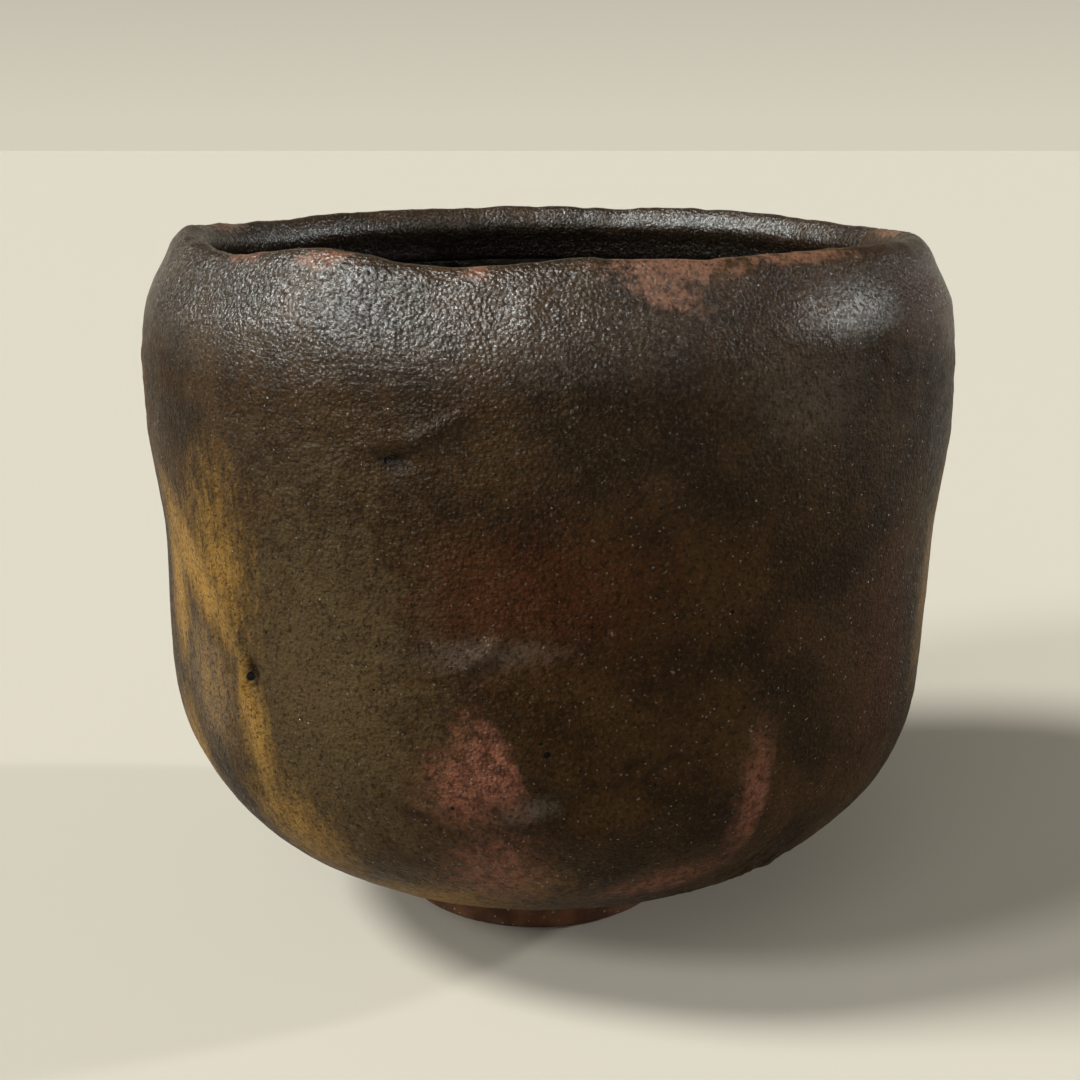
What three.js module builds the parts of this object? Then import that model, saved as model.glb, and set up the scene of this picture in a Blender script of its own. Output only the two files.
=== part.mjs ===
// A hand-built matcha bowl: a pinched clay body on a luted foot ring, with a glaze coat outside
// that laps over the lip and a second glaze coat inside.
// Millimetres, +Z up. The origin is on the table, at the centre of the bowl's bounding box.
// Azimuths are in degrees from +X towards +Y, so the front of the bowl, -Y, is at 270.

import * as THREE from "three";

// ---- Driving dimensions ----

const GLAZE_THICKNESS = 0.8;
const COAT_GAP = 0.3; // between the clay and a coat, and between the two coats
const CLAY_DEPTH = GLAZE_THICKNESS + COAT_GAP; // the clay lies this far under the glazed skin

const SEGMENTS = 72; // round the bowl
const WALL_ROWS = 17; // up the outside, foot to lip
const LIP_ROWS = 6; // over the lip
const LAP_ROWS = 2; // down the lap inside the lip
const WELL_ROWS = 12; // from the lap to the middle of the floor

// The glazed skin in section, as [radius, height], for the average azimuth.
const OUTER_WALL = [
  [24.5, 6.8],
  [31, 8.9],
  [39, 13],
  [46, 18.6],
  [51, 25.4],
  [54, 34],
  [55, 46],
  [55.4, 59],
  [56.2, 71],
  [56.3, 80],
  [56.1, 86],
  [55.1, 91.6],
  [53.2, 95],
];
const LIP = [
  [53.2, 95],
  [52.2, 96.9],
  [50.5, 98.1],
  [48.7, 97.7],
  [47.4, 95.6],
];
const INNER_WALL = [
  [47.4, 95.6],
  [49.4, 88],
  [50.4, 78],
  [49.8, 64],
  [49, 48],
  [47, 35],
  [40.5, 23.4],
  [29.5, 16.4],
  [15, 13.8],
  [0, 13],
];
const LIP_LAP = 7; // how far the outer coat runs down inside the lip

// Foot ring
const FOOT_OUTER_RADIUS = 21.5;
const FOOT_INNER_RADIUS = 14.5;
const FOOT_JOINT_HEIGHT = 6.2; // where the ring is luted to the body
const FOOT_TAPER = 1.0; // the ring is this much narrower at the table
const FOOT_EDGE = 0.8; // bevel round the resting face
const FOOT_CENTRE = [-1.5, 0.5]; // the ring sits a little off the bowl's axis

// Underside of the clay body: a flat seat for the ring round a shallow dome
const SEAT_HEIGHT = FOOT_JOINT_HEIGHT + COAT_GAP;
const SEAT_INNER_RADIUS = 13.5;
const SEAT_OUTER_RADIUS = 22.7;
const DOME_RISE = 1.2;
const DOME_ROWS = 3;

// ---- How the hands left it ----

// Out-of-round plan: each wave adds amplitude * cos(count * (azimuth - peak)) to the radius, as a share.
const PLAN_WAVES = [
  { count: 2, peak: 0, amplitude: 0.012 },
  { count: 3, peak: 20, amplitude: 0.006 },
  { count: 4, peak: 45, amplitude: 0.008 },
];

// Lip line: peaks and dips along the crest, in millimetres of height.
const LIP_WAVES = [
  { azimuth: 185, spread: 8, height: 0.5 },
  { azimuth: 220, spread: 7, height: -1.0 },
  { azimuth: 238, spread: 6, height: 0.4 },
  { azimuth: 258, spread: 8, height: -1.2 },
  { azimuth: 275, spread: 5, height: 0.2 },
  { azimuth: 288, spread: 9, height: -0.5 },
  { azimuth: 345, spread: 14, height: -0.4 },
  { azimuth: 20, spread: 14, height: -0.9 },
  { azimuth: 60, spread: 12, height: 0.4 },
  { azimuth: 95, spread: 12, height: 0.5 },
  { azimuth: 125, spread: 8, height: 0.2 },
  { azimuth: 150, spread: 10, height: -0.6 },
];
const LIP_WAVE_START = 62; // the waves fade to nothing at this height

// Finger presses and paddle marks: positive depth pushes the wall in, negative lets it swell.
const PRESSES = [
  { azimuth: 188, height: 57, spread: 16, tall: 8, depth: 0.8 },
  { azimuth: 180, height: 26, spread: 18, tall: 10, depth: -0.3 },
  { azimuth: 208, height: 36, spread: 9, tall: 16, depth: 0.8 },
  { azimuth: 250, height: 24, spread: 12, tall: 8, depth: 0.6 },
  { azimuth: 305, height: 28, spread: 14, tall: 9, depth: 0.7 },
  { azimuth: 262, height: 64, spread: 26, tall: 14, depth: 0.6 },
  { azimuth: 325, height: 86, spread: 12, tall: 6, depth: -0.5 },
  { azimuth: 5, height: 72, spread: 20, tall: 7, depth: -0.6 },
  { azimuth: 5, height: 46, spread: 20, tall: 12, depth: 0.8 },
  { azimuth: 315, height: 13, spread: 16, tall: 7, depth: 0.9 },
  { azimuth: 190, height: 97, spread: 14, tall: 7, depth: 0.8 },
  { azimuth: 75, height: 30, spread: 18, tall: 10, depth: 1.0 },
  { azimuth: 120, height: 60, spread: 20, tall: 16, depth: 0.8 },
  { azimuth: 150, height: 26, spread: 14, tall: 9, depth: 0.9 },
];
const FULL_SHAPE_RADIUS = 50; // inside this radius, waves and presses fade towards the axis

// ---- Shape functions ----

const radians = THREE.MathUtils.degToRad;

function bell(distance, spread) {
  return Math.exp(-0.5 * (distance / spread) ** 2);
}

function azimuthDistance(a, b) {
  return THREE.MathUtils.euclideanModulo(a - b + 180, 360) - 180;
}

function planScale(azimuth) {
  let scale = 1;
  for (const { count, peak, amplitude } of PLAN_WAVES) {
    scale += amplitude * Math.cos(count * radians(azimuth - peak));
  }
  return scale;
}

function lipLift(azimuth, height) {
  let lift = 0;
  for (const wave of LIP_WAVES) {
    lift += wave.height * bell(azimuthDistance(azimuth, wave.azimuth), wave.spread);
  }
  const top = OUTER_WALL.at(-1)[1];
  return lift * THREE.MathUtils.smoothstep(height, LIP_WAVE_START, top);
}

function pressDepth(azimuth, height) {
  let depth = 0;
  for (const press of PRESSES) {
    const round = bell(azimuthDistance(azimuth, press.azimuth), press.spread);
    depth += press.depth * round * bell(height - press.height, press.tall);
  }
  return depth;
}

function placed(radius, azimuth, height) {
  const a = radians(azimuth);
  return new THREE.Vector3(radius * Math.cos(a), radius * Math.sin(a), height);
}

// Where a point of the section ends up at one azimuth of the real, uneven bowl.
function formed(section, azimuth) {
  const { x: radius, y: height } = section;
  const fade = THREE.MathUtils.smoothstep(radius, 0, FULL_SHAPE_RADIUS);
  const outOfRound = radius * (planScale(azimuth) - 1) - pressDepth(azimuth, height);
  return placed(radius + outOfRound * fade, azimuth, height + lipLift(azimuth, height));
}

// ---- The section ----

function spline(points) {
  return new THREE.SplineCurve(points.map(([r, z]) => new THREE.Vector2(r, z)));
}

// Evenly spaced points between two distances along a curve, both included.
function stretch(curve, from, to, rows) {
  const points = [];
  for (let i = 0; i <= rows; i++) {
    const distance = THREE.MathUtils.lerp(from, to, i / rows);
    points.push(curve.getPointAt(distance / curve.getLength()));
  }
  return points;
}

const outerCurve = spline(OUTER_WALL);
const lipCurve = spline(LIP);
const innerCurve = spline(INNER_WALL);
const wall = stretch(outerCurve, 0, outerCurve.getLength(), WALL_ROWS);
const lip = stretch(lipCurve, 0, lipCurve.getLength(), LIP_ROWS).slice(1, -1);
const lap = stretch(innerCurve, 0, LIP_LAP, LAP_ROWS);
const well = stretch(innerCurve, LIP_LAP + COAT_GAP, innerCurve.getLength(), WELL_ROWS);
const outerCoat = [...wall, ...lip, ...lap];
const skin = [...outerCoat, ...well];

// The skin moved into the wall by a depth, along its own normals.
function under(depth) {
  return skin.map((point, i) => {
    if (i === skin.length - 1) return new THREE.Vector2(0, point.y - depth);
    const before = skin[Math.max(i - 1, 0)];
    const after = skin[i + 1];
    const along = after.clone().sub(before).normalize();
    return new THREE.Vector2(point.x - along.y * depth, point.y + along.x * depth);
  });
}

// ---- Solids of revolution, bent out of round ----

const AXIS_TOLERANCE = 1e-6;

// Adds the vertices that a section point sweeps round the bowl, or only one where it lies on the axis.
function sweep(point, shape, positions) {
  const start = positions.length / 3;
  const size = point.x > AXIS_TOLERANCE ? SEGMENTS : 1;
  for (let i = 0; i < size; i++) {
    positions.push(...shape(point, (360 * i) / SEGMENTS).toArray());
  }
  return { start, size };
}

// Adds the triangles between two neighbouring rings.
function bridge(ring, next, faces) {
  const vertex = ({ start, size }, i) => start + (i % size);
  for (let i = 0; i < SEGMENTS; i++) {
    if (ring.size > 1) faces.push(vertex(ring, i), vertex(ring, i + 1), vertex(next, i));
    if (next.size > 1) faces.push(vertex(ring, i + 1), vertex(next, i + 1), vertex(next, i));
  }
}

// Turns a section into a closed mesh. The section runs anticlockwise, seen with the axis on the left,
// and either starts and ends on the axis or closes on itself.
function turned(section, shape = formed) {
  const positions = [];
  const faces = [];
  const rings = section.map((point) => sweep(point, shape, positions));
  rings.forEach((ring, i) => bridge(ring, rings[(i + 1) % rings.length], faces));
  const geometry = new THREE.BufferGeometry();
  geometry.setAttribute("position", new THREE.Float32BufferAttribute(positions, 3));
  geometry.setIndex(faces);
  geometry.computeVertexNormals();
  return geometry;
}

function underside() {
  const points = [];
  for (let i = 0; i <= DOME_ROWS; i++) {
    const share = i / DOME_ROWS;
    const height = SEAT_HEIGHT + DOME_RISE * (1 - share ** 2);
    points.push(new THREE.Vector2(SEAT_INNER_RADIUS * share, height));
  }
  points.push(new THREE.Vector2(SEAT_OUTER_RADIUS, SEAT_HEIGHT));
  return points;
}

function clayBody() {
  return turned([...underside(), ...under(CLAY_DEPTH)]);
}

function outerGlaze() {
  const back = under(GLAZE_THICKNESS).slice(0, outerCoat.length);
  return turned([...outerCoat, ...back.reverse()]);
}

function innerGlaze() {
  const back = under(GLAZE_THICKNESS).slice(outerCoat.length);
  return turned([...well, ...back.reverse()]);
}

function footRing() {
  const outer = FOOT_OUTER_RADIUS;
  const inner = FOOT_INNER_RADIUS;
  const ring = [
    [inner, FOOT_JOINT_HEIGHT],
    [inner + FOOT_TAPER, FOOT_EDGE],
    [inner + FOOT_TAPER + FOOT_EDGE, 0],
    [outer - FOOT_TAPER - FOOT_EDGE, 0],
    [outer - FOOT_TAPER, FOOT_EDGE],
    [outer, FOOT_JOINT_HEIGHT],
  ].map(([r, z]) => new THREE.Vector2(r, z));
  const centre = new THREE.Vector3(...FOOT_CENTRE, 0);
  return turned(ring, (point, azimuth) => placed(point.x, azimuth, point.y).add(centre));
}

// ---- Materials and assembly ----

const bareClay = new THREE.MeshStandardMaterial({ color: 0x5a3a2a, roughness: 0.9, metalness: 0 });
const blackGlaze = new THREE.MeshStandardMaterial({ color: 0x2b221b, roughness: 0.5, metalness: 0 });
const wellGlaze = new THREE.MeshStandardMaterial({ color: 0x15110e, roughness: 0.35, metalness: 0 });

function piece(name, geometry, material) {
  const mesh = new THREE.Mesh(geometry, material);
  mesh.name = name;
  return mesh;
}

const bowl = new THREE.Group();
bowl.add(
  piece("clay_body", clayBody(), bareClay),
  piece("foot_ring", footRing(), bareClay),
  piece("outer_glaze", outerGlaze(), blackGlaze),
  piece("inner_glaze", innerGlaze(), wellGlaze),
);

// Centre the bounding box over the origin.
const box = new THREE.Box3().setFromObject(bowl);
const middle = box.getCenter(new THREE.Vector3());
bowl.position.set(-middle.x, -middle.y, 0);

export default bowl;
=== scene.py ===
"""A hand-built matcha bowl: satin black glaze over the wavy lip, glossy black well, bare clay foot.

The CAD nodes give the form. Each is read back as a grid of rings round the bowl, refined with a smooth
curve, and given what the hands, the tools and the kiln left on it. Lengths inside this script are in
millimetres, and azimuths in degrees from +X towards +Y, so the front of the bowl, -Y, is at 270.
"""

import math

import bmesh
import bpy
import numpy as np
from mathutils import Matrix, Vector, noise

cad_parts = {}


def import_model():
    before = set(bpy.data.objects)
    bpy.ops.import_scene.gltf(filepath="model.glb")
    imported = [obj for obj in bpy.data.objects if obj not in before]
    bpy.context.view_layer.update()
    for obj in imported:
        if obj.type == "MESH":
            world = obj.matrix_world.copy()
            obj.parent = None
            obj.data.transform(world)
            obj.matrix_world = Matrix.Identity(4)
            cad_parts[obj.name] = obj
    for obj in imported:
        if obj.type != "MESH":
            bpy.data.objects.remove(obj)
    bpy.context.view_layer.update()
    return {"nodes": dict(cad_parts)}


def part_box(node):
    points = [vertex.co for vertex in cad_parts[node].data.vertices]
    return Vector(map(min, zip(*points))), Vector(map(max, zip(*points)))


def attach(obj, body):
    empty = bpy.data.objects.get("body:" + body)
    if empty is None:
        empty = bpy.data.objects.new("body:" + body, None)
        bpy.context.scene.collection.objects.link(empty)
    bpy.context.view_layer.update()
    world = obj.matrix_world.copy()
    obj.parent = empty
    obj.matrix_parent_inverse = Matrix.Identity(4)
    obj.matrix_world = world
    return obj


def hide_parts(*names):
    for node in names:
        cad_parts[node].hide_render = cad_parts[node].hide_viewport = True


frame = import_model()

MM = 0.001

# The bowl's axis runs through the lowest point of the well.
AXIS = min(frame["nodes"]["inner_glaze"].data.vertices, key=lambda vertex: vertex.co.z).co.copy()

# ---- Camera, as the bowl was looked at ----
LENS = 54.1
SENSOR = 36
CAMERA_PLACE = (-1.3, -231.6, 112.9)
CAMERA_PITCH = 14.52  # degrees below level

# ---- Studio ----
FLOOR_SIZE = 12  # metres
FLOOR_COLOUR = (0.48, 0.43, 0.36)
SKY_COLOUR = (1.0, 0.94, 0.77)
SKY_AT_HORIZON = 0.66
SKY_OVERHEAD = 0.12
SKY_FADE = 0.35  # sine of the elevation at which the sky is dimmest

# ---- Resolution of the fine meshes ----
CAD_COLUMNS = 72  # the CAD's steps round the bowl
COAT_COLUMNS = 432
COAT_SPACING = 0.72  # between rows, up the wall
WELL_COLUMNS = 288
WELL_SPACING = 1.0
CLAY_COLUMNS = 288
UNDERSIDE_SPACING = 0.6
HIDDEN_SPACING = 4.0  # between rows that a coat covers
BACK_STEP = 4  # the hidden back of a coat has one row for this many on its face
FOOT_SPACING = 0.5
MERGE = 0.01 * MM
AXIS_RADIUS = 0.1 * MM

# ---- Glaze coats ----
COAT_DEPTH = 1.1  # from the glazed face to the clay
DEEPEST = 1.0  # no dent goes deeper, so none reaches the clay
EDGE_ROLL = 1.3  # how far the rounded edge of a coat reaches
SEAM_TUCK = 3.0  # how far the well's coat runs up under the outer coat
SEAM_DEPTH = 0.5  # how deep it goes there
GLAZE_LINE_REACH = 9.0  # the uneven glaze line by the foot bends this much of the wall
UNDERSIDE_RINGS = 5  # CAD rings of the clay body from its dome to the glaze line

# ---- Foot ring and the clay inside it ----
LUTING_LIFT = 0.5  # the ring reaches this far into the body that it is luted to
LUTING_BAND = 2.0  # how much of its height is drawn up
LUTING_FILLET = 0.8
LUTING_SPREAD = 0.9  # how far down the fillet goes
STANDING_EDGE = (0.2, 1.6)  # the ring stays true below the first height and is uneven above the second
FOOT_FACETS = 11  # strokes of the trimming knife round the ring
FACET_DEPTH = 0.22
FACET_DRIFT = 0.4  # how unevenly the strokes follow each other
FOOT_SOFTENING = 2  # passes that round its corners
SPIRAL_HEIGHT = 0.12
SPIRAL_PITCH = 4.5
SPIRAL_END = (9, 13)  # the turned spiral fades out between these radii

# ---- Unevenness ----
# Each is fractal noise in lumps about so tall and so wide. Shift says where in the noise it begins, and
# a smaller squash draws the lumps out along that axis.
PINCHING = dict(tall=0.16, wide=16, octaves=2, shift=3.0)
PEBBLES = dict(tall=0.07, wide=4.0, octaves=3, shift=11.0)
SAND = dict(tall=0.035, wide=1.6, octaves=2, shift=7.0)
QUIET = 0.5  # how much of the pebbles and sand is missing in the quiet band
QUIET_BAND = dict(middle=58, half=9)
DRAGGED = dict(tall=0.16, wide=2.8, octaves=3, shift=5.0, squash=(0.35, 0.35, 1))
DRAG_BAND = dict(middle=80, half=9)  # where the glaze was dragged sideways
BLISTERS = dict(tall=0.09, wide=2.4, octaves=2, shift=13.0)  # on the wine patches
BROKEN = dict(tall=0.7, wide=2.0, octaves=3, shift=17.0)  # a share of each mark's own height
LIP_WAVES = dict(tall=0.20, wide=5.5, octaves=2, shift=2.0)
LIP_NICKS = dict(tall=0.07, wide=2.0, octaves=2, shift=9.0)
CREST_REACH = 5  # the lip's waves and nicks die out this far below its crest
GLAZE_LINE = dict(tall=1.6, wide=17, octaves=3, shift=31.0)
GLAZE_LINE_GAP = 1.0  # the glaze stops about this far short of its line in the CAD
RIM_RADIUS = 50  # of the circle on which the lip and the glaze line read the noise
WELL_SWELL = dict(tall=0.14, wide=14, octaves=2, shift=21.0)
WELL_RUNS = dict(tall=0.06, wide=4, octaves=3, shift=23.0)
COARSE_CLAY = dict(tall=0.15, wide=3, octaves=3, shift=41.0)
COARSE_FOOT = dict(tall=0.35, wide=4, octaves=3, shift=51.0)

# ---- Finish of the outer coat: levels of gloss and grain, and where they change ----
GLOSSY_HEIGHTS = (80, 92)  # the shoulder turns glossy between these
SHEEN = 0.12
SHEEN_HEIGHTS = (62, 80)  # the wall under the shoulder takes on a sheen between these
SLICK_GLOSS = 1.4
WINE_GLOSS = 0.15
WALL_GRAIN = 0.7
SHOULDER_GRAIN = 0.3  # more than the wall's
GRAINY_HEIGHTS = (50, 70)
WINE_GRAIN = 1.5
SLICK_SMOOTHING = 0.4
DULL_SMOOTHING = 0.3
LIP_SMOOTHING = 0.4
LIP_REACH = (0, 3)  # inside the lip, the grain softens between these distances from the crest
WELL_REACH = (1.5, 8)  # and the coat turns as black as the well between these
DENT_SHADE_DEPTHS = (0.2, 0.7)  # painted shade darkens the dents between these depths

# Dents and lumps on the outside: azimuth, height, half width, half height, tilt in degrees, and how far
# the middle stands out (negative for a dent).
MARKS = [
    dict(azimuth=251.6, height=76.0, wide=1.7, tall=0.8, tilt=6, lump=-0.9),  # torn pit
    dict(azimuth=254.6, height=78.2, wide=2.4, tall=0.6, tilt=30, lump=0.6),  # its raised rim
    dict(azimuth=258.0, height=80.0, wide=2.2, tall=0.6, tilt=25, lump=0.45),
    dict(azimuth=249.4, height=77.4, wide=1.4, tall=0.7, tilt=10, lump=0.35),
    dict(azimuth=267.6, height=92.4, wide=1.2, tall=1.7, tilt=0, lump=0.5),  # drip
    dict(azimuth=262.2, height=53.0, wide=2.0, tall=0.55, tilt=40, lump=0.55),  # scratch
    dict(azimuth=263.0, height=51.7, wide=1.8, tall=0.6, tilt=40, lump=-0.5),
    dict(azimuth=228.0, height=46.4, wide=0.9, tall=1.7, tilt=12, lump=-1.0),  # nick beside the crease
    dict(azimuth=226.8, height=44.8, wide=0.7, tall=1.2, tilt=12, lump=0.8),
    dict(azimuth=306.0, height=17.5, wide=9.0, tall=3.2, tilt=0, lump=0.55),  # corner of a pared plane
    dict(azimuth=283.0, height=37.5, wide=13.0, tall=3.2, tilt=22, lump=-0.45),  # pared facets, low down
    dict(azimuth=276.0, height=29.0, wide=9.0, tall=3.0, tilt=24, lump=0.3),
    dict(azimuth=296.0, height=33.0, wide=4.0, tall=6.0, tilt=-10, lump=0.3),
    dict(azimuth=252.0, height=31.0, wide=7.0, tall=4.0, tilt=-15, lump=-0.3),
    dict(azimuth=318.0, height=84.0, wide=6.0, tall=3.5, tilt=-20, lump=-0.45),  # thumb print by the lip
    dict(azimuth=309.0, height=90.5, wide=5.0, tall=2.2, tilt=5, lump=0.3),
    dict(azimuth=30.0, height=50.0, wide=5.0, tall=9.0, tilt=20, lump=-0.5),
    dict(azimuth=75.0, height=72.0, wide=9.0, tall=3.5, tilt=-12, lump=-0.5),
    dict(azimuth=100.0, height=33.0, wide=10.0, tall=3.5, tilt=18, lump=-0.45),
    dict(azimuth=140.0, height=68.0, wide=4.0, tall=8.0, tilt=-25, lump=-0.45),
    dict(azimuth=165.0, height=40.0, wide=6.0, tall=5.0, tilt=10, lump=0.35),
]

# Burst bubbles in the glaze; their pits are painted near black as shade.
BUBBLES = [
    dict(azimuth=269.8, height=41.0, radius=0.45),
    dict(azimuth=268.8, height=42.4, radius=0.25),
    dict(azimuth=257.5, height=33.0, radius=0.30),
    dict(azimuth=251.0, height=75.8, radius=0.45),
    dict(azimuth=227.6, height=46.0, radius=0.60),
    dict(azimuth=293.0, height=57.0, radius=0.25),
    dict(azimuth=82.0, height=61.0, radius=0.40),
    dict(azimuth=141.0, height=35.0, radius=0.35),
]

# The crease on the left flank, from top to bottom, as (height, azimuth).
CREASE = [(62, 214), (56, 221), (48, 225.5), (41, 227), (33, 229.5)]
CREASE_STEP = 0.5  # the flank left of the crease lies this much lower
CREASE_SLOPE = (-0.6, 0.9)  # the step falls between these distances left of the crease
CREASE_REACH = 11  # how far round the bowl the lower flank goes
CREASE_LOW_FADE = (-8, 6)  # the crease fades in from below to above its low end
CREASE_HIGH_FADE = (-8, 3)  # and out from below to above its high end
RIDGE = 0.3
RIDGE_PLACE = 0.9  # left of the crease
RIDGE_HALF_WIDTH = 0.8

# Coloured patches: azimuth, height, half width, half height, tilt. A sharp patch stops suddenly on its
# right side, between these shares of its half width.
SHARP_END = (0.75, 1.1)
WINE = [
    dict(azimuth=262.9, height=38.8, wide=3.3, tall=5.6, tilt=22, sharp=True),
    dict(azimuth=259.3, height=35.5, wide=4.4, tall=4.6, tilt=-24, level=0.9),
    dict(azimuth=262.5, height=23.0, wide=5.5, tall=6.0, tilt=0, level=0.75),
    dict(azimuth=298.9, height=32.0, wide=2.2, tall=7.5, tilt=0, sharp=True, level=0.9),
    dict(azimuth=288.0, height=19.5, wide=7.0, tall=2.4, tilt=14, level=0.75),
    dict(azimuth=57.0, height=34.0, wide=5.0, tall=8.0, tilt=10, sharp=True, level=0.7),
    dict(azimuth=128.0, height=28.0, wide=7.0, tall=5.0, tilt=-15, level=0.7),
    dict(azimuth=100.0, height=55.0, wide=3.0, tall=6.0, tilt=5, level=0.6),
]
# Ochre where the glaze is thin, partly a painted warm reflection on the left flank.
OCHRE = [
    dict(azimuth=214.0, height=58.0, wide=11.0, tall=3.8, tilt=-42),
    dict(azimuth=222.0, height=60.0, wide=6.5, tall=10.0, tilt=12, level=0.65),
    dict(azimuth=223.0, height=70.0, wide=6.0, tall=5.0, tilt=0, level=0.45),
    dict(azimuth=216.0, height=43.0, wide=7.0, tall=9.0, tilt=10, level=0.5),
    dict(azimuth=205.5, height=53.0, wide=4.0, tall=9.0, tilt=0, level=0.9),
    dict(azimuth=227.5, height=39.0, wide=2.6, tall=9.0, tilt=8, level=0.8),
    dict(azimuth=204.0, height=30.0, wide=5.0, tall=7.0, tilt=0, level=0.7),
    dict(azimuth=231.0, height=24.0, wide=6.5, tall=8.0, tilt=22, level=0.7),
    # These two low on the wall by the foot are a painted warm reflection.
    dict(azimuth=246.0, height=13.0, wide=12.0, tall=4.5, tilt=12, level=0.75),
    dict(azimuth=266.0, height=20.0, wide=9.0, tall=5.0, tilt=0, level=0.4),
    dict(azimuth=338.0, height=54.0, wide=4.5, tall=14.0, tilt=-6, level=0.6),
    dict(azimuth=22.0, height=46.0, wide=8.0, tall=15.0, tilt=-12, level=0.55),
    dict(azimuth=150.0, height=50.0, wide=9.0, tall=14.0, tilt=14, level=0.6),
]
# Grey mauve, partly a painted bluish-grey sheen.
MAUVE = [
    dict(azimuth=215.5, height=42.0, wide=5.5, tall=7.5, tilt=14),
    dict(azimuth=303.0, height=82.0, wide=9.0, tall=6.0, tilt=-8, level=0.7),
    dict(azimuth=267.5, height=33.0, wide=3.0, tall=1.4, tilt=18),
    dict(azimuth=262.0, height=53.0, wide=8.0, tall=1.9, tilt=4, level=0.75),
    dict(azimuth=85.0, height=44.0, wide=8.0, tall=10.0, tilt=10, level=0.8),
]
MAROON = [
    dict(azimuth=193.0, height=80.0, wide=7.0, tall=12.0, tilt=0),
    dict(azimuth=330.0, height=91.0, wide=9.0, tall=5.0, tilt=-10),
    dict(azimuth=268.0, height=60.0, wide=16.0, tall=8.0, tilt=4, level=0.8),
    dict(azimuth=322.0, height=48.0, wide=6.0, tall=14.0, tilt=0, level=0.8),
    dict(azimuth=45.0, height=76.0, wide=9.0, tall=8.0, tilt=0),
]
# Paler, greener brown.
OLIVE = [
    dict(azimuth=240.0, height=46.0, wide=13.0, tall=24.0, tilt=0),
    dict(azimuth=12.0, height=40.0, wide=14.0, tall=18.0, tilt=10, level=0.7),
    dict(azimuth=155.0, height=44.0, wide=13.0, tall=20.0, tilt=-8, level=0.8),
]
# Duller glaze on the shoulder.
DULL = [
    dict(azimuth=312.0, height=88.0, wide=19.0, tall=12.0, tilt=0, level=0.95),
    dict(azimuth=205.0, height=82.0, wide=9.0, tall=6.0, tilt=0, level=0.8),
    dict(azimuth=60.0, height=84.0, wide=14.0, tall=6.0, tilt=8, level=0.7),
]
# Smoother, glassier glaze.
SLICK = [
    dict(azimuth=309.0, height=91.6, wide=6.5, tall=2.0, tilt=4),
    dict(azimuth=118.0, height=90.0, wide=8.0, tall=3.5, tilt=-5),
]
# Where the glaze on the crest of the lip is thin enough to burn rust red.
RUST = [
    dict(azimuth=225.0, height=97.5, wide=4.0, tall=1.0, tilt=0),
    dict(azimuth=240.0, height=97.5, wide=3.5, tall=1.0, tilt=0),
    dict(azimuth=260.5, height=97.0, wide=1.6, tall=1.3, tilt=0),
    dict(azimuth=286.0, height=97.0, wide=7.0, tall=1.5, tilt=0),
    dict(azimuth=284.5, height=94.5, wide=3.5, tall=1.8, tilt=-20),
    dict(azimuth=305.0, height=97.5, wide=8.0, tall=0.7, tilt=0),
    dict(azimuth=5.0, height=97.5, wide=6.0, tall=0.8, tilt=0),
    dict(azimuth=165.0, height=97.5, wide=6.0, tall=0.8, tilt=0),
]
COLOURED = dict(wine=WINE, ochre=OCHRE, mauve=MAUVE, maroon=MAROON, olive=OLIVE, rust=RUST)


# ---- Reading the CAD as a grid ----

def neighbours(vertex, column):
    others = [edge.other_vert(vertex) for edge in vertex.link_edges]
    return [other for other in others if other in column]


def walked(column):
    """A column's vertices in order along the section, from its lowest end, or lowest point if closed."""
    left = set(column)
    ends = [vertex for vertex in column if len(neighbours(vertex, left)) == 1]
    here = min(ends or column, key=lambda vertex: (round(vertex.co.z / MM, 1), -vertex.co.xy.length))
    order = []
    while here:
        left.discard(here)
        order.append(here.co / MM)
        reach = neighbours(here, left)
        here = max(reach, key=lambda vertex: (vertex.co - here.co).length, default=None)
    return order


def cad_rings(node, centre):
    """The CAD node's vertices as an array [ring, column, xyz]. Points at the centre are left out."""
    mesh = bmesh.new()
    mesh.from_mesh(frame["nodes"][node].data)
    bmesh.ops.remove_doubles(mesh, verts=mesh.verts, dist=MERGE)
    columns = [[] for _ in range(CAD_COLUMNS)]
    for vertex in mesh.verts:
        offset = (vertex.co - centre).xy
        if offset.length > AXIS_RADIUS:
            turn = math.atan2(offset.y, offset.x) / math.tau
            columns[round(turn * CAD_COLUMNS) % CAD_COLUMNS].append(vertex)
    rings = np.array([walked(column) for column in columns]).swapaxes(0, 1)
    mesh.free()
    return rings


# ---- Smooth curves through the grid ----

def smooth(points, knots, at):
    """A smooth curve through points[i] at knots[i], along the first axis, read off at other places."""
    gaps = np.diff(knots)
    bend = (slice(None),) + (None,) * (points.ndim - 1)
    slopes = np.diff(points, axis=0) / gaps[bend]
    before, after = gaps[:-1][bend], gaps[1:][bend]
    middle = (slopes[:-1] * after + slopes[1:] * before) / (before + after)
    tangents = np.concatenate([slopes[:1], middle, slopes[-1:]])
    i = np.clip(np.searchsorted(knots, at, side="right") - 1, 0, len(gaps) - 1)
    gap = gaps[i][bend]
    t = ((at - knots[i]) / gaps[i])[bend]
    start = (1 + 2 * t) * (1 - t) ** 2 * points[i] + t * (1 - t) ** 2 * gap * tangents[i]
    end = t * t * (3 - 2 * t) * points[i + 1] + t * t * (t - 1) * gap * tangents[i + 1]
    return start + end


def more_columns(rings, columns):
    """The same rings with more columns."""
    wrap = 2
    closed = np.concatenate([rings[:, -wrap:], rings, rings[:, : wrap + 1]], axis=1).swapaxes(0, 1)
    knots = np.arange(-wrap, rings.shape[1] + wrap + 1, dtype=float)
    at = np.arange(columns) * rings.shape[1] / columns
    return smooth(closed, knots, at).swapaxes(0, 1)


def distances(rings):
    """Mean distance of each ring along the section from the first."""
    steps = np.linalg.norm(np.diff(rings, axis=0), axis=2).mean(axis=1)
    return np.concatenate([[0], np.cumsum(steps)])


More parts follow.
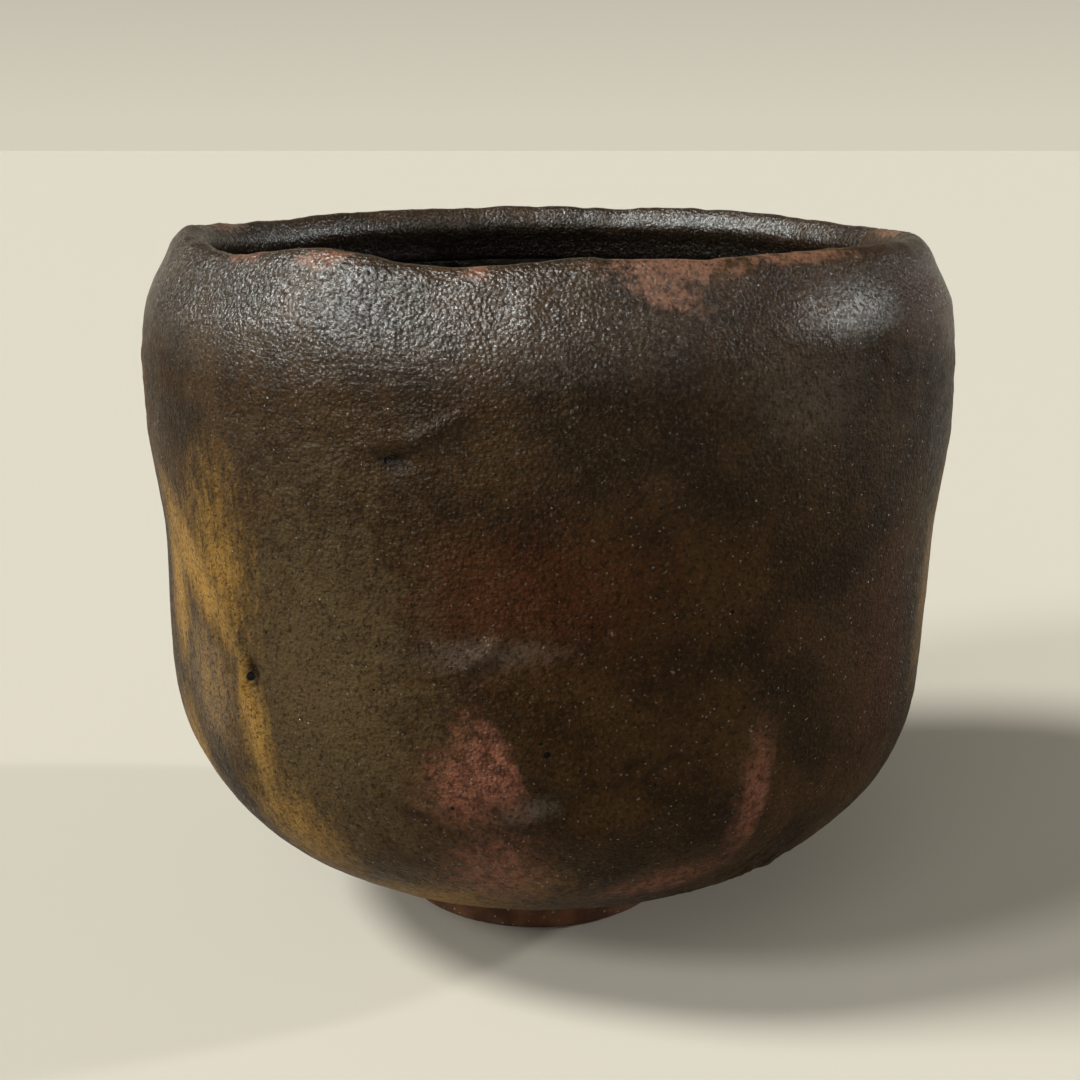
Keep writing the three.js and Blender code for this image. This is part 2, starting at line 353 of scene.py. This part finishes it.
def more_rings(rings, spacing):
    """The same surface with its rings evenly spaced along the section."""
    knots = distances(rings)
    return smooth(rings, knots, np.linspace(0, knots[-1], round(knots[-1] / spacing) + 1))


def slid(rings, slide):
    """The surface with each point moved along its own column by slide, in millimetres."""
    along = distances(rings)
    moved = np.empty_like(rings)
    for column in range(rings.shape[1]):
        for axis in range(3):
            moved[:, column, axis] = np.interp(along + slide[:, column], along, rings[:, column, axis])
    return moved


def softened(rings, passes):
    """A closed section with its corners rounded by averaging each ring with its neighbours."""
    for _ in range(passes):
        rings = (np.roll(rings, 1, axis=0) + 2 * rings + np.roll(rings, -1, axis=0)) / 4
    return rings


def normals(rings, closed=False):
    """Unit normals of a grid that runs up the outside and down the inside: they point out of the wall."""
    round_the_bowl = np.roll(rings, -1, axis=1) - np.roll(rings, 1, axis=1)
    along = np.roll(rings, -1, axis=0) - np.roll(rings, 1, axis=0) if closed else np.gradient(rings, axis=0)
    normal = np.cross(round_the_bowl, along)
    return normal / np.linalg.norm(normal, axis=2, keepdims=True)


# ---- Height fields ----

def lumps(rings, tall, wide, octaves, shift, squash=(1, 1, 1)):
    """Unevenness over a grid, as listed at the top."""
    points = (rings * np.array(squash) / wide + shift).reshape(-1, 3)
    values = [noise.fractal(point, 1.0, 2.0, octaves) for point in points]
    return tall * np.array(values).reshape(rings.shape[:2])


def bell(distance):
    return np.exp(-0.5 * distance**2)


def band(rings, middle, half):
    """One at a height, falling to nothing above and below it."""
    return bell((rings[..., 2] - middle) / half)


def ease(value, low, high):
    """Nothing up to the low value, one from the high value on."""
    t = np.clip((value - low) / (high - low), 0, 1)
    return t * t * (3 - 2 * t)


def polar(rings):
    """Azimuth in degrees and radius in millimetres of each point of a grid about the bowl's axis."""
    offset = rings[..., :2] - np.array(AXIS.xy) / MM
    azimuth = np.degrees(np.arctan2(offset[..., 1], offset[..., 0])) % 360
    return azimuth, np.linalg.norm(offset, axis=2)


def circle_lumps(rings, **kind):
    """Unevenness that changes only with azimuth."""
    turn = np.radians(polar(rings)[0])
    circle = np.stack([np.cos(turn), np.sin(turn), np.zeros_like(turn)], axis=2) * RIM_RADIUS
    return lumps(circle, **kind)


def spot(rings, azimuth, height, wide, tall, tilt, sharp=False, level=1.0):
    """A level at the middle of a patch, falling to nothing round it."""
    here, radius = polar(rings)
    across = np.radians((here - azimuth + 180) % 360 - 180) * radius
    up = rings[..., 2] - height
    turn = math.radians(tilt)
    along = across * math.cos(turn) + up * math.sin(turn)
    over = up * math.cos(turn) - across * math.sin(turn)
    patch = level * bell(np.hypot(along / wide, over / tall))
    return patch * (1 - ease(along / wide, *SHARP_END)) if sharp else patch


def patches(rings, spots):
    """The strongest of several patches at each point."""
    return np.max([spot(rings, **each) for each in spots], axis=0)


def nearest(rings, azimuth, height):
    """The grid's point nearest to an azimuth and a height."""
    return rings.reshape(-1, 3)[np.argmax(spot(rings, azimuth, height, 1, 1, 0))]


def crease_height(rings):
    """The left flank: a pared plane that ends in a sharp ridge."""
    heights, azimuths = np.array(CREASE[::-1], dtype=float).T
    here, radius = polar(rings)
    height = rings[..., 2]
    left = -np.radians(here - np.interp(height, heights, azimuths)) * radius
    started = ease(height - heights[0], *CREASE_LOW_FADE)
    ended = ease(height - heights[-1], *CREASE_HIGH_FADE)
    plane = -CREASE_STEP * ease(left, *CREASE_SLOPE) * bell(np.maximum(left, 0) / CREASE_REACH)
    ridge = RIDGE * bell((left - RIDGE_PLACE) / RIDGE_HALF_WIDTH)
    return (plane + ridge) * started * (1 - ended)


def outer_height(rings):
    """Height of the outer coat's face over the smooth form, apart from its marks and its crest."""
    face = lumps(rings, **PINCHING)
    face += band(rings, **DRAG_BAND) * lumps(rings, **DRAGGED)
    face += (1 - QUIET * band(rings, **QUIET_BAND)) * (lumps(rings, **PEBBLES) + lumps(rings, **SAND))
    face += patches(rings, WINE) * lumps(rings, **BLISTERS)
    return face + crease_height(rings)


def mark_height(rings):
    """Height of the dents and lumps, with their edges a little broken."""
    height = 0
    for mark in MARKS:
        where = {key: value for key, value in mark.items() if key != "lump"}
        height = height + mark["lump"] * spot(rings, **where)
    return height * (1 + lumps(rings, **BROKEN))


def crest_height(rings):
    """Small rises and nicks along the lip, strongest on its crest."""
    crest = rings[..., 2].max(axis=0)
    near = ease(rings[..., 2] - crest, -CREST_REACH, 0)
    return near * (circle_lumps(rings, **LIP_WAVES) + circle_lumps(rings, **LIP_NICKS))


def glaze_line(rings):
    """How far the glaze stops short of the foot, which eases out up the wall."""
    gap = GLAZE_LINE_GAP + circle_lumps(rings, **GLAZE_LINE)
    return np.clip(gap, 0, None) * (1 - ease(distances(rings), 0, GLAZE_LINE_REACH))[:, None]


# ---- Building meshes ----

def grid_object(name, rings, closed):
    """A mesh object from rings: closed joins the last ring to the first, or else a point caps each end."""
    count, columns = rings.shape[:2]
    vertices = list((rings * MM).reshape(-1, 3))
    faces = []
    for ring in range(count if closed else count - 1):
        low, high = ring * columns, ((ring + 1) % count) * columns
        for i in range(columns):
            j = (i + 1) % columns
            faces.append((low + i, low + j, high + j, high + i))
    if not closed:
        low_tip, high_tip = len(vertices), len(vertices) + 1
        vertices += [rings[0].mean(axis=0) * MM, rings[-1].mean(axis=0) * MM]
        last = (count - 1) * columns
        faces += [((i + 1) % columns, i, low_tip) for i in range(columns)]
        faces += [(last + i, last + (i + 1) % columns, high_tip) for i in range(columns)]
    mesh = bpy.data.meshes.new(name)
    mesh.from_pydata(vertices, [], faces)
    mesh.shade_smooth()
    made = bpy.data.objects.new(name, mesh)
    bpy.context.scene.collection.objects.link(made)
    return made


def paint(piece, name, values):
    """Stores one number per vertex for the material. Vertices after the given ones get nothing."""
    whole = np.zeros(len(piece.data.vertices), dtype=np.float32)
    flat = np.asarray(values, dtype=np.float32).ravel()
    whole[: len(flat)] = flat
    layer = piece.data.attributes.new(name, "FLOAT", "POINT")
    layer.data.foreach_set("value", whole)


def round_end(distance):
    """Share of a coat's thickness at a distance from its end, where the glaze rounds over."""
    near = np.clip(distance / EDGE_ROLL, 0, 1)
    return np.sqrt(1 - (1 - near) ** 2)[:, None]


def coat_front(rings, face, thick):
    """A coat's face: the form with its height field, sunk to the clay where the coat thins out."""
    depth = COAT_DEPTH + np.maximum(face, -DEEPEST)
    return rings + normals(rings) * (depth * thick - COAT_DEPTH)[..., None]


def coat_back(rings):
    """The side of a coat that lies on the clay, in the other direction and with fewer rows."""
    return (rings - normals(rings) * COAT_DEPTH)[BACK_STEP:-BACK_STEP:BACK_STEP][::-1]


def finished(piece, node, material):
    """Gives a piece its material, puts it under the root body and hides the CAD node it stands for."""
    piece.data.materials.append(material)
    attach(piece, "root")
    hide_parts(node)


# ---- Materials ----

def colour(red, green, blue):
    return (red, green, blue, 1)


class Nodes:
    """A new material with a few short ways to add nodes."""

    def __init__(self, name):
        self.material = bpy.data.materials.new(name)
        self.material.use_nodes = True
        self.tree = self.material.node_tree
        self.shader = self.tree.nodes["Principled BSDF"]
        self.place = self.tree.nodes.new("ShaderNodeTexCoord").outputs["Object"]

    def add(self, kind, inputs=None, **settings):
        node = self.tree.nodes.new("ShaderNode" + kind)
        for key, value in settings.items():
            setattr(node, key, value)
        for key, value in (inputs or {}).items():
            self.put(node.inputs[key], value)
        return node

    def put(self, socket, value):
        if isinstance(value, bpy.types.NodeSocket):
            self.tree.links.new(value, socket)
        else:
            socket.default_value = value

    def set(self, **values):
        """Sets or links the shader's inputs. Underscores in the names stand for spaces."""
        for name, value in values.items():
            self.put(self.shader.inputs[name.replace("_", " ")], value)

    def noise(self, size, detail=3.0, roughness=0.55, stretch=(1, 1, 1)):
        """Noise from about 0 to 1 in lumps of a size in millimetres."""
        place = self.add("Mapping", {"Vector": self.place, "Scale": stretch}).outputs[0]
        inputs = {"Vector": place, "Scale": 1 / (size * MM), "Detail": detail, "Roughness": roughness}
        return self.add("TexNoise", inputs).outputs["Fac"]

    def cells(self, size, output="Distance"):
        inputs = {"Vector": self.place, "Scale": 1 / (size * MM)}
        return self.add("TexVoronoi", inputs).outputs[output]

    def ramp(self, value, low, high, start=0.0, end=1.0):
        inputs = {"Value": value, "From Min": low, "From Max": high, "To Min": start, "To Max": end}
        return self.add("MapRange", inputs, interpolation_type="SMOOTHSTEP").outputs["Result"]

    def math(self, operation, a, b):
        return self.add("Math", {0: a, 1: b}, operation=operation).outputs[0]

    def mix(self, factor, a, b):
        node = self.add("Mix", data_type="RGBA")
        for socket, value in zip((0, 6, 7), (factor, a, b)):
            self.put(node.inputs[socket], value)
        return node.outputs[2]

    def painted(self, name):
        return self.add("Attribute", attribute_name=name).outputs["Fac"]

    def mask(self, name, strength, ragged=0.35, size=1.6, stretch=(1, 1, 1)):
        """A painted patch, with its edge broken up by noise."""
        rough = self.ramp(self.noise(size, 5.0, 0.7, stretch), 0.3, 0.7, -ragged, ragged)
        return self.ramp(self.math("ADD", self.painted(name), rough), ragged, 1.0, 0, strength)

    def hole(self, place, radius):
        """Nothing within a radius of a point, one outside it, both in millimetres."""
        inputs = {0: self.place, 1: tuple(place * MM)}
        away = self.add("VectorMath", inputs, operation="DISTANCE").outputs["Value"]
        return self.ramp(away, 0.7 * radius * MM, 1.1 * radius * MM)

    def bump(self, height, strength, distance, normal=None):
        inputs = {"Height": height, "Strength": strength, "Distance": distance * MM}
        if normal:
            inputs["Normal"] = normal
        return self.add("Bump", inputs).outputs["Normal"]


def black_glaze(holes):
    """Satin brown-black glaze, grainy as wet sand and glossiest on the shoulder. Where it is thin it
    turns rust, wine, ochre or mauve, and inside the lip it runs into the black of the well. The ochre is
    partly a painted warm reflection, the mauve partly a painted bluish-grey sheen, and painted shade
    darkens its dents and pinholes."""
    n = Nodes("black_glaze")
    streak = (1, 1, 0.3)
    gloss = n.painted("gloss")
    grain = n.painted("grain")
    black, brown = colour(0.013, 0.0055, 0.001), colour(0.036, 0.0165, 0.0045)
    base = n.mix(n.ramp(n.noise(11, 4, 0.6), 0.35, 0.68), black, brown)
    base = n.mix(n.mask("maroon", 0.6, 0.2), base, colour(0.050, 0.012, 0.005))
    base = n.mix(n.mask("olive", 0.75, 0.2, 2.5), base, colour(0.062, 0.040, 0.018))
    # Mauve, partly a painted bluish-grey sheen.
    base = n.mix(n.mask("mauve", 0.5, 0.15), base, colour(0.100, 0.077, 0.060))
    # Ochre, partly a painted warm reflection.
    base = n.mix(n.mask("ochre", 0.8, 0.15, 1.2, streak), base, colour(0.27, 0.140, 0.028))
    deep_wine, pale_wine = colour(0.070, 0.020, 0.009), colour(0.165, 0.058, 0.034)
    wine = n.mix(n.ramp(n.noise(1.4, 3, 0.6), 0.35, 0.60), deep_wine, pale_wine)
    base = n.mix(n.mask("wine", 0.9, 0.15, 2.2), base, wine)
    base = n.mix(n.mask("rust", 0.75), base, colour(0.20, 0.090, 0.055))
    base = n.mix(n.painted("well"), base, colour(0.005, 0.003, 0.002))
    base = n.mix(n.ramp(n.noise(0.5, 4, 0.75), 0.50, 0.75, 0, 0.4), base, colour(0.105, 0.064, 0.030))
    base = n.mix(n.ramp(n.noise(0.6, 2, 0.6), 0.50, 0.34, 0, 0.6), base, colour(0.006, 0.003, 0.001))
    # Painted shade: the dents are darkened.
    base = n.mix(n.painted("dent_shade"), base, colour(0.010, 0.005, 0.002))
    pores = n.ramp(n.cells(2.3), 0.05, 0.075)
    for place, radius in holes:
        pores = n.math("MINIMUM", pores, n.hole(place, radius))
    # Pinholes painted near black: painted shade inside them, with a bump for their dip.
    base = n.mix(pores, colour(0.001, 0.001, 0.001), base)

    coarse = n.math("MULTIPLY", n.noise(1.6, 3, 0.6), grain)
    drag = n.math("MULTIPLY", n.noise(0.9, 3, 0.65, (0.35, 0.35, 1)), grain)
    sand = n.math("MULTIPLY", n.cells(0.5), grain)
    normal = n.bump(coarse, 0.6, 0.25)
    normal = n.bump(drag, 0.8, 0.4, normal)
    normal = n.bump(n.noise(0.28, 3, 0.7), 0.9, 0.13, normal)
    normal = n.bump(sand, 0.9, -0.18, normal)
    normal = n.bump(pores, 0.7, 0.3, normal)

    film = n.math("MULTIPLY", gloss, n.ramp(n.noise(0.5, 3, 0.7), 0.42, 0.60, 0.35, 1.0))
    glints = n.ramp(n.cells(0.22, "Color"), 0.90, 0.94, 0, 0.9)
    n.set(
        Base_Color=base,
        Roughness=n.ramp(n.noise(1.1, 4, 0.7), 0.3, 0.7, 0.36, 0.55),
        Specular_IOR_Level=0.05,
        Normal=normal,
        Coat_Weight=n.math("MAXIMUM", film, glints),
        Coat_Roughness=0.26,
        Coat_IOR=1.8,
        Coat_Normal=normal,
    )
    return n.material


def well_glaze():
    """Glossy black glaze with soft runs."""
    n = Nodes("well_glaze")
    black, brown = colour(0.002, 0.0015, 0.001), colour(0.009, 0.005, 0.0035)
    base = n.mix(n.ramp(n.noise(7, 3, 0.6), 0.4, 0.7), black, brown)
    normal = n.bump(n.noise(2.4, 3, 0.6), 0.5, 0.25)
    normal = n.bump(n.noise(0.7, 3, 0.6), 0.3, 0.1, normal)
    n.set(Base_Color=base, Roughness=n.ramp(n.noise(4, 3, 0.6), 0.3, 0.7, 0.16, 0.3), Normal=normal)
    return n.material


def bare_clay():
    """Coarse dark red-brown stoneware, dusted with sand."""
    n = Nodes("bare_clay")
    dark, red, sand = colour(0.060, 0.024, 0.012), colour(0.15, 0.062, 0.030), colour(0.3, 0.21, 0.14)
    base = n.mix(n.ramp(n.noise(5, 4, 0.6), 0.35, 0.7), dark, red)
    base = n.mix(n.ramp(n.cells(1.1), 0.08, 0.2), sand, base)
    normal = n.bump(n.noise(1.4, 4, 0.65), 0.7, 0.3)
    normal = n.bump(n.noise(0.35, 3, 0.7), 0.6, 0.12, normal)
    n.set(Base_Color=base, Roughness=n.ramp(n.noise(2, 3, 0.6), 0.3, 0.7, 0.75, 0.95), Normal=normal)
    n.set(Specular_IOR_Level=0.3)
    return n.material


# ---- The four pieces ----

def paint_outer_coat(piece, front, shaped, marks):
    """Stores where the coat is coloured, glossy, grainy, painted dark as shade in a dent, or as black as
    the well.
    """
    height = front[..., 2]
    inside = (np.arange(len(front))[:, None] - np.argmax(height, axis=0)) * COAT_SPACING
    for name, spots in COLOURED.items():
        paint(piece, name, patches(shaped, spots))
    dull, slick, wine = (patches(shaped, spots) for spots in (DULL, SLICK, WINE))
    gloss = np.maximum(ease(height, *GLOSSY_HEIGHTS), SHEEN * ease(height, *SHEEN_HEIGHTS)) * (1 - dull)
    paint(piece, "gloss", np.max([gloss, SLICK_GLOSS * slick, WINE_GLOSS * wine], axis=0))
    grain = WALL_GRAIN + SHOULDER_GRAIN * ease(height, *GRAINY_HEIGHTS)
    grain *= (1 - LIP_SMOOTHING * ease(inside, *LIP_REACH)) * (1 - DULL_SMOOTHING * dull)
    paint(piece, "grain", np.maximum(grain, WINE_GRAIN * wine) * (1 - SLICK_SMOOTHING * slick))
    # Painted shade in the dents.
    paint(piece, "dent_shade", ease(-marks, *DENT_SHADE_DEPTHS))
    paint(piece, "well", ease(inside, *WELL_REACH))


def outer_coat():
    rings = cad_rings("outer_glaze", AXIS)
    front = more_rings(more_columns(rings[: len(rings) // 2], COAT_COLUMNS), COAT_SPACING)
    front = slid(front, glaze_line(front))
    along = distances(front)
    thick = round_end(along) * round_end(along[-1] - along)
    marks = mark_height(front)
    shaped = coat_front(front, outer_height(front) + crest_height(front) + marks, thick)
    piece = grid_object("outer_glaze_coat", np.concatenate([shaped, coat_back(front)]), closed=True)
    paint_outer_coat(piece, front, shaped, marks)
    holes = [(nearest(shaped, each["azimuth"], each["height"]), each["radius"]) for each in BUBBLES]
    finished(piece, "outer_glaze", black_glaze(holes))


def inner_coat():
    rings = cad_rings("inner_glaze", AXIS)
    front = rings[len(rings) // 2 :]
    out = normals(front)[0]
    up = front[0] - front[1]
    up /= np.linalg.norm(up, axis=1, keepdims=True)
    tuck = [front[0] + up * SEAM_TUCK * share - out * SEAM_DEPTH * share for share in (1, 0.5)]
    front = np.concatenate([np.array(tuck), front])
    front = more_rings(more_columns(front, WELL_COLUMNS), WELL_SPACING)
    face = lumps(front, **WELL_SWELL) + lumps(front, **WELL_RUNS)
    shaped = coat_front(front, face, round_end(distances(front)))
    piece = grid_object("inner_glaze_coat", np.concatenate([coat_back(front), shaped]), closed=False)
    finished(piece, "inner_glaze", well_glaze())


def clay_body():
    rings = more_columns(cad_rings("clay_body", AXIS), CLAY_COLUMNS)
    bare = more_rings(rings[:UNDERSIDE_RINGS], UNDERSIDE_SPACING)
    azimuth, radius = polar(bare)
    spiral = SPIRAL_HEIGHT * np.sin(np.radians(azimuth) - math.tau * radius / SPIRAL_PITCH)
    face = spiral * (1 - ease(radius, *SPIRAL_END)) + lumps(bare, **COARSE_CLAY)
    bare = bare + normals(bare) * face[..., None]
    hidden = more_rings(rings[UNDERSIDE_RINGS - 1 :], HIDDEN_SPACING)
    piece = grid_object("clay_body_form", np.concatenate([bare, hidden[1:]]), closed=False)
    finished(piece, "clay_body", bare_clay_material)


def foot_ring():
    low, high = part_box("foot_ring")
    rings = cad_rings("foot_ring", (low + high) / 2)[::-1]
    rings = more_columns(rings, CLAY_COLUMNS)
    loop = np.concatenate([rings, rings[:1]])
    knots = distances(loop)
    at = np.linspace(0, knots[-1], round(knots[-1] / FOOT_SPACING), endpoint=False)
    fine = np.array([[np.interp(at, knots, loop[:, i, k]) for k in range(3)] for i in range(CLAY_COLUMNS)])
    fine = softened(fine.transpose(2, 0, 1), FOOT_SOFTENING)
    height, top = fine[..., 2], high.z / MM
    turn = np.radians(polar(fine)[0])
    free = ease(height, *STANDING_EDGE)
    face = free * lumps(fine, **COARSE_FOOT) + LUTING_FILLET * bell((height - top) / LUTING_SPREAD)
    strokes = turn * FOOT_FACETS / 2 + FACET_DRIFT * np.sin(3 * turn)
    face -= FACET_DEPTH * free * np.abs(np.sin(strokes))
    fine = fine + normals(fine, closed=True) * face[..., None] * [1, 1, 0]
    fine[..., 2] += LUTING_LIFT * ease(height, top - LUTING_BAND, top)
    piece = grid_object("foot_ring_form", fine, closed=True)
    finished(piece, "foot_ring", bare_clay_material)


bare_clay_material = bare_clay()
outer_coat()
inner_coat()
clay_body()
foot_ring()


# ---- Floor, light and camera ----

def floor():
    material = Nodes("pale_floor")
    material.set(Base_Color=colour(*FLOOR_COLOUR), Roughness=0.9)
    bpy.ops.mesh.primitive_plane_add(size=FLOOR_SIZE)
    plane = bpy.context.object
    plane.name = "floor"
    plane.data.materials.append(material.material)


def sun(name, heading, elevation, spread, strength, tint):
    """A soft light from far away, spread degrees wide. Heading is in degrees from +X towards +Y."""
    turn, rise = math.radians(heading), math.radians(elevation)
    away = Vector((math.cos(turn) * math.cos(rise), math.sin(turn) * math.cos(rise), math.sin(rise)))
    light = bpy.data.lights.new(name, "SUN")
    light.angle = math.radians(spread)
    light.energy = strength
    light.color = tint
    lamp = bpy.data.objects.new(name, light)
    lamp.rotation_euler = away.to_track_quat("Z", "Y").to_euler()
    bpy.context.scene.collection.objects.link(lamp)


def camera():
    data = bpy.data.cameras.new("camera")
    data.sensor_width = SENSOR
    data.lens = LENS
    data.clip_start = 0.01
    seen = bpy.data.objects.new("camera", data)
    seen.location = Vector(CAMERA_PLACE) * MM
    seen.rotation_euler = (math.radians(90 - CAMERA_PITCH), 0, 0)
    bpy.context.scene.collection.objects.link(seen)
    bpy.context.scene.camera = seen


def world():
    """A studio that is pale at the horizon, like the floor, and dim overhead."""
    sky = bpy.data.worlds.new("studio")
    sky.use_nodes = True
    nodes, links = sky.node_tree.nodes, sky.node_tree.links
    backdrop = nodes["Background"]
    backdrop.inputs["Color"].default_value = colour(*SKY_COLOUR)
    direction = nodes.new("ShaderNodeTexCoord").outputs["Generated"]
    parts = nodes.new("ShaderNodeSeparateXYZ")
    fade = nodes.new("ShaderNodeMapRange")
    links.new(direction, parts.inputs[0])
    links.new(parts.outputs["Z"], fade.inputs["Value"])
    fade.inputs["From Max"].default_value = SKY_FADE
    fade.inputs["To Min"].default_value = SKY_AT_HORIZON
    fade.inputs["To Max"].default_value = SKY_OVERHEAD
    links.new(fade.outputs["Result"], backdrop.inputs["Strength"])
    bpy.context.scene.world = sky


floor()
world()
sun("key", heading=192, elevation=46, spread=14, strength=4.1, tint=(0.95, 1.0, 0.98))
sun("left", heading=212, elevation=31, spread=12, strength=1.7, tint=(0.93, 1.0, 0.99))
sun("right", heading=6, elevation=20, spread=3, strength=1.5, tint=(0.95, 1.0, 1.0))
sun("front", heading=252, elevation=37, spread=32, strength=0.55, tint=(0.96, 1.0, 0.98))
camera()
bpy.context.scene.view_settings.view_transform = "Standard"
